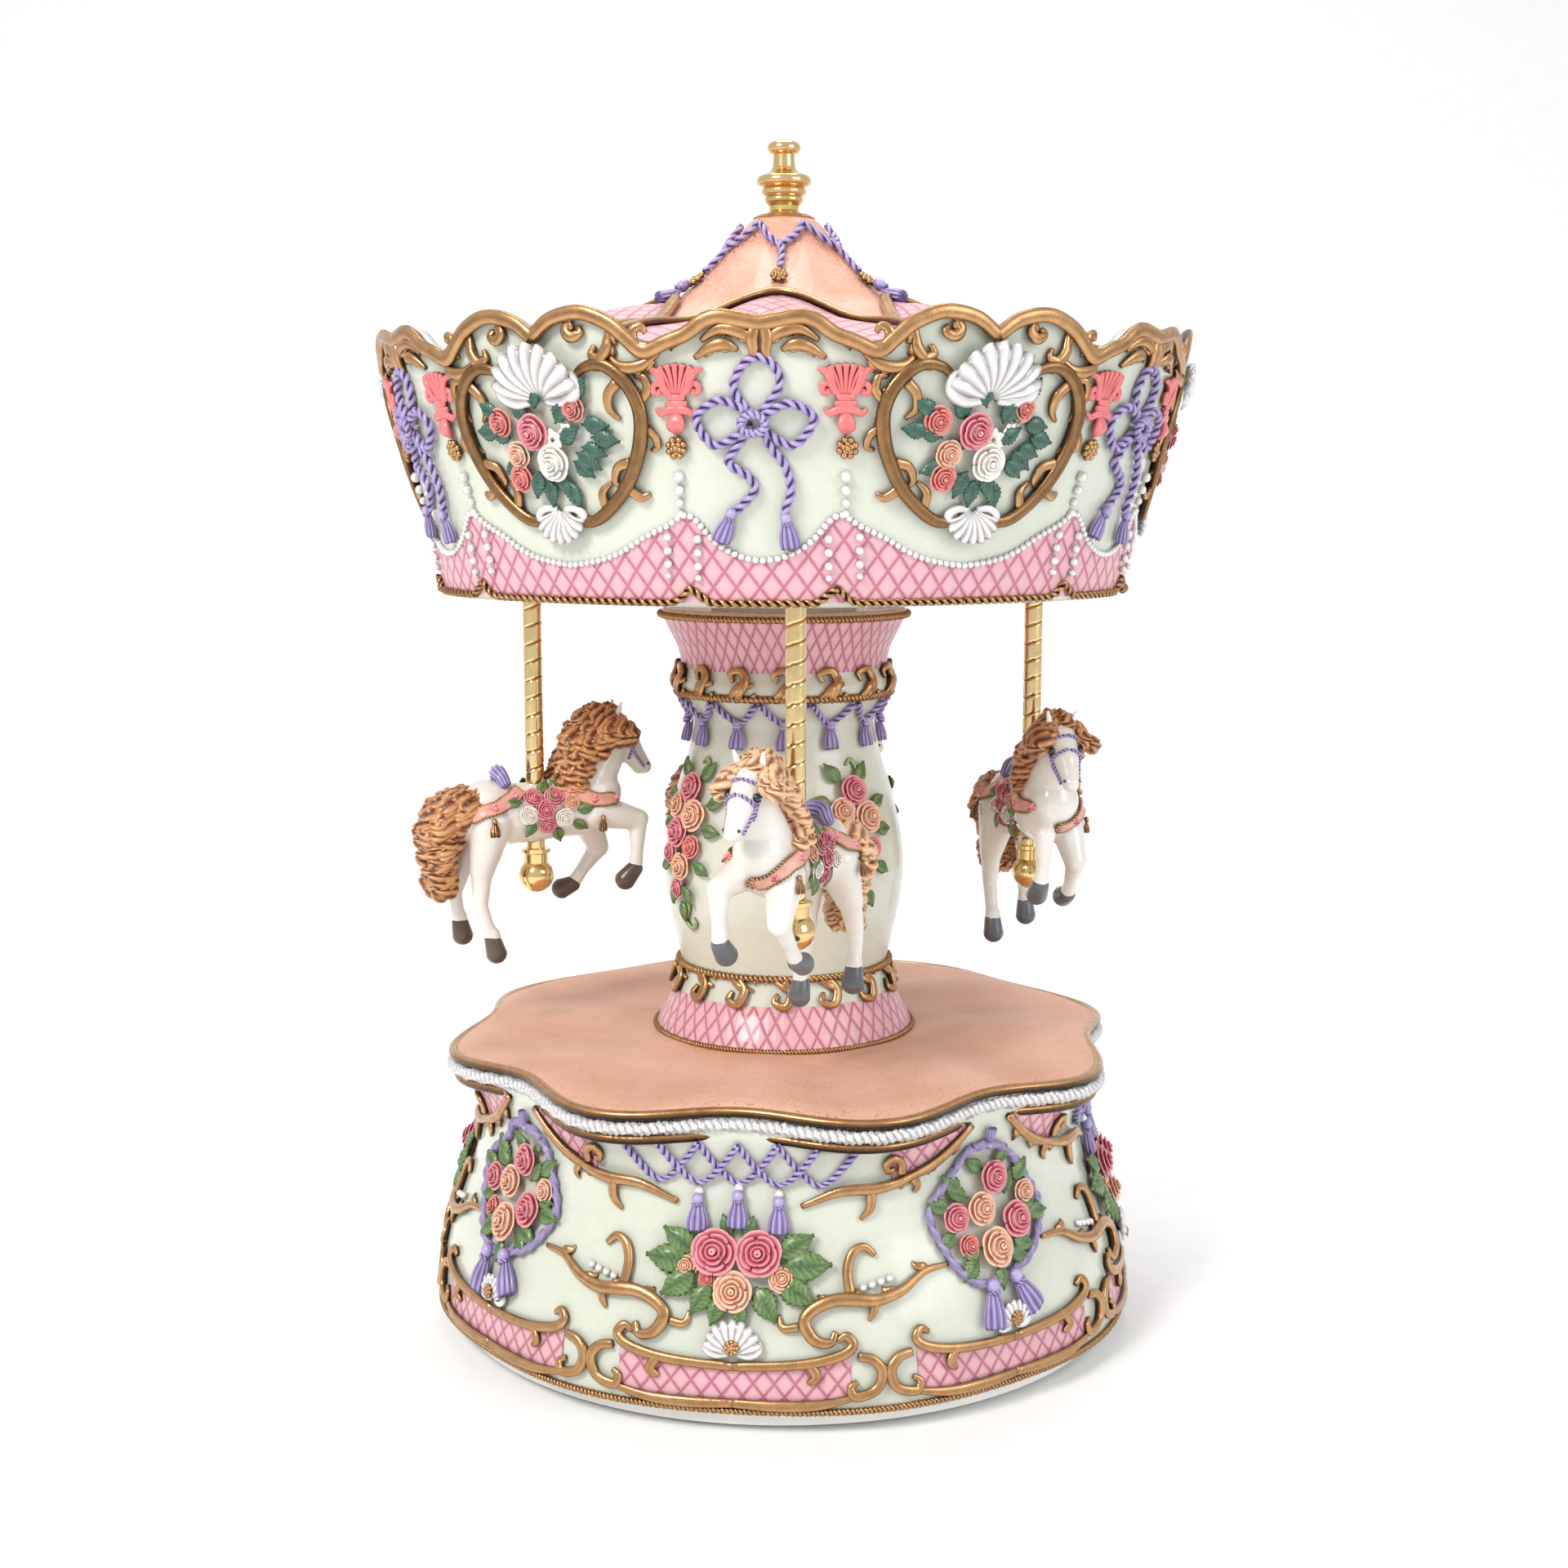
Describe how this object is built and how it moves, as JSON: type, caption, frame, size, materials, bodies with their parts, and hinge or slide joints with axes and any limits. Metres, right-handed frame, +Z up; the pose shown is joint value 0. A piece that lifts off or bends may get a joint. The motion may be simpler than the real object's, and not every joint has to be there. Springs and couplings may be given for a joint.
{
  "type": "carousel music box",
  "caption": "Wind-up carousel music box: lobed base, baluster pillar, turning canopy with scrolled rounding board, and horses rising and falling on brass poles.",
  "frame": {"origin": "centre of the underside, on the surface it stands on and on the pillar's axis", "axes": "+Z up along the pillar; -Y towards the front of the carousel; +X to the right seen from the front"},
  "size_m": [0.1968, 0.2013, 0.3048],
  "materials": {
    "cream_resin": "glossy painted resin",
    "peach_resin": "fine-grained matt painted resin",
    "pink_resin": "satin painted resin",
    "antique_gold": "rubbed antique gold paint",
    "polished_brass": "polished",
    "gear_brass": "machined",
    "spring_steel": "ground",
    "screw_steel": "zinc plated",
    "white_plastic": "moulded",
    "felt": "felt",
    "horse_white": "glossy painted resin",
    "horse_hair": "satin painted resin",
    "hoof_grey": "satin painted resin",
    "rope_purple": "satin painted resin",
    "saddle_purple": "satin painted resin",
    "rose_pink": "satin painted resin",
    "rose_peach": "satin painted resin",
    "petal_white": "satin painted resin",
    "leaf_green": "painted resin with glitter",
    "pearl": "pearl lacquer"
  },
  "bodies": {
    "base": {"felt_ring": "felt", "bottom_cover": "white_plastic", "spacer_disc": "white_plastic", "cover_screws": "screw_steel", "movement_screws": "screw_steel", "comb_screws": "screw_steel", "base_casting": "cream_resin", "pillar_casting": "cream_resin", "centre_sleeve": "gear_brass", "lower_bush": "gear_brass", "fixed_crown_gear": "gear_brass", "movement_bedplate": "gear_brass", "arbor_brackets": "gear_brass", "governor_frame": "gear_brass", "comb": "spring_steel"},
    "carousel": {"drive_shaft": "spring_steel", "mainspring": "spring_steel", "spring_barrel": "gear_brass", "canopy_rounding_board": "cream_resin", "roof_shell": "peach_resin", "ceiling_plate": "peach_resin", "canopy_hub": "white_plastic", "crank_bearings": "white_plastic", "finial": "polished_brass", "pole_bushings": "polished_brass", "finial_washer": "antique_gold", "ceiling_screws": "screw_steel"},
    "crank_1": {"crank_shaft_1": "spring_steel", "crank_pinion_1": "white_plastic"},
    "crank_2": {"crank_shaft_2": "spring_steel", "crank_pinion_2": "white_plastic"},
    "crank_3": {"crank_shaft_3": "spring_steel", "crank_pinion_3": "white_plastic"},
    "crank_4": {"crank_shaft_4": "spring_steel", "crank_pinion_4": "white_plastic"},
    "pole_1": {"pole_1": "polished_brass", "pole_ball_1": "polished_brass", "pole_yoke_1": "white_plastic"},
    "pole_2": {"pole_2": "polished_brass", "pole_ball_2": "polished_brass", "pole_yoke_2": "white_plastic"},
    "pole_3": {"pole_3": "polished_brass", "pole_ball_3": "polished_brass", "pole_yoke_3": "white_plastic"},
    "pole_4": {"pole_4": "polished_brass", "pole_ball_4": "polished_brass", "pole_yoke_4": "white_plastic"},
    "horse_1": {"horse_1": "horse_white"},
    "horse_2": {"horse_2": "horse_white"},
    "horse_3": {"horse_3": "horse_white"},
    "horse_4": {"horse_4": "horse_white"},
    "winding_key": {"winding_key": "gear_brass", "winding_arbor": "spring_steel"},
    "cylinder": {"pinned_cylinder": "gear_brass", "cylinder_pinion": "gear_brass", "cylinder_wheel": "gear_brass"},
    "governor": {"governor_arbor": "spring_steel"},
    "fan": {"governor_fan": "white_plastic"}
  },
  "joints": [
    {"name": "carousel_turn", "type": "hinge", "parent": "base", "child": "carousel", "pos_m": [0, 0, 0.2], "axis": [0, 0, 1], "continuous": true},
    {"name": "crank_1_turn", "type": "hinge", "parent": "carousel", "child": "crank_1", "pos_m": [0, 0, 0.20938], "axis": [0.0419, -0.9991, 0], "continuous": true},
    {"name": "crank_2_turn", "type": "hinge", "parent": "carousel", "child": "crank_2", "pos_m": [0, 0, 0.20938], "axis": [0.9991, 0.0419, 0], "continuous": true},
    {"name": "crank_3_turn", "type": "hinge", "parent": "carousel", "child": "crank_3", "pos_m": [0, 0, 0.20938], "axis": [-0.0419, 0.9991, 0], "continuous": true},
    {"name": "crank_4_turn", "type": "hinge", "parent": "carousel", "child": "crank_4", "pos_m": [0, 0, 0.20938], "axis": [-0.9991, -0.0419, 0], "continuous": true},
    {"name": "pole_1_rise", "type": "slide", "parent": "carousel", "child": "pole_1", "axis": [0, 0, 1], "range_m": [-0.003, 0.005]},
    {"name": "pole_2_rise", "type": "slide", "parent": "carousel", "child": "pole_2", "axis": [0, 0, 1], "range_m": [-0.005, 0.003]},
    {"name": "pole_3_rise", "type": "slide", "parent": "carousel", "child": "pole_3", "axis": [0, 0, 1], "range_m": [-0.003, 0.005]},
    {"name": "pole_4_rise", "type": "slide", "parent": "carousel", "child": "pole_4", "axis": [0, 0, 1], "range_m": [-0.005, 0.003]},
    {"name": "horse_1_swivel", "type": "hinge", "parent": "pole_1", "child": "horse_1", "pos_m": [0.00275, -0.06564, 0.13], "axis": [0, 0, 1], "continuous": true},
    {"name": "horse_2_swivel", "type": "hinge", "parent": "pole_2", "child": "horse_2", "pos_m": [0.06564, 0.00275, 0.13], "axis": [0, 0, 1], "continuous": true},
    {"name": "horse_3_swivel", "type": "hinge", "parent": "pole_3", "child": "horse_3", "pos_m": [-0.00275, 0.06564, 0.13], "axis": [0, 0, 1], "continuous": true},
    {"name": "horse_4_swivel", "type": "hinge", "parent": "pole_4", "child": "horse_4", "pos_m": [-0.06564, -0.00275, 0.13], "axis": [0, 0, 1], "continuous": true},
    {"name": "key_turn", "type": "hinge", "parent": "base", "child": "winding_key", "pos_m": [0, 0, 0.015], "axis": [0, 0, 1], "continuous": true},
    {"name": "cylinder_turn", "type": "hinge", "parent": "base", "child": "cylinder", "pos_m": [0.025, 0, 0.04512], "axis": [1, 0, 0], "continuous": true},
    {"name": "governor_turn", "type": "hinge", "parent": "base", "child": "governor", "pos_m": [0.03, -0.01125, 0.04512], "axis": [1, 0, 0], "continuous": true},
    {"name": "fan_turn", "type": "hinge", "parent": "base", "child": "fan", "pos_m": [0.02775, -0.01725, 0.04512], "axis": [0, 0, 1], "continuous": true}
  ],
  "couplings": [
    {"joint": "crank_1_turn", "follows": "carousel_turn", "ratio": -4},
    {"joint": "crank_2_turn", "follows": "carousel_turn", "ratio": -4},
    {"joint": "crank_3_turn", "follows": "carousel_turn", "ratio": -4},
    {"joint": "crank_4_turn", "follows": "carousel_turn", "ratio": -4},
    {"joint": "pole_2_rise", "follows": "pole_1_rise", "ratio": -1},
    {"joint": "pole_3_rise", "follows": "pole_1_rise", "ratio": 1},
    {"joint": "pole_4_rise", "follows": "pole_1_rise", "ratio": -1},
    {"joint": "cylinder_turn", "follows": "carousel_turn", "ratio": 4},
    {"joint": "governor_turn", "follows": "carousel_turn", "ratio": -16},
    {"joint": "fan_turn", "follows": "carousel_turn", "ratio": 320}
  ]
}
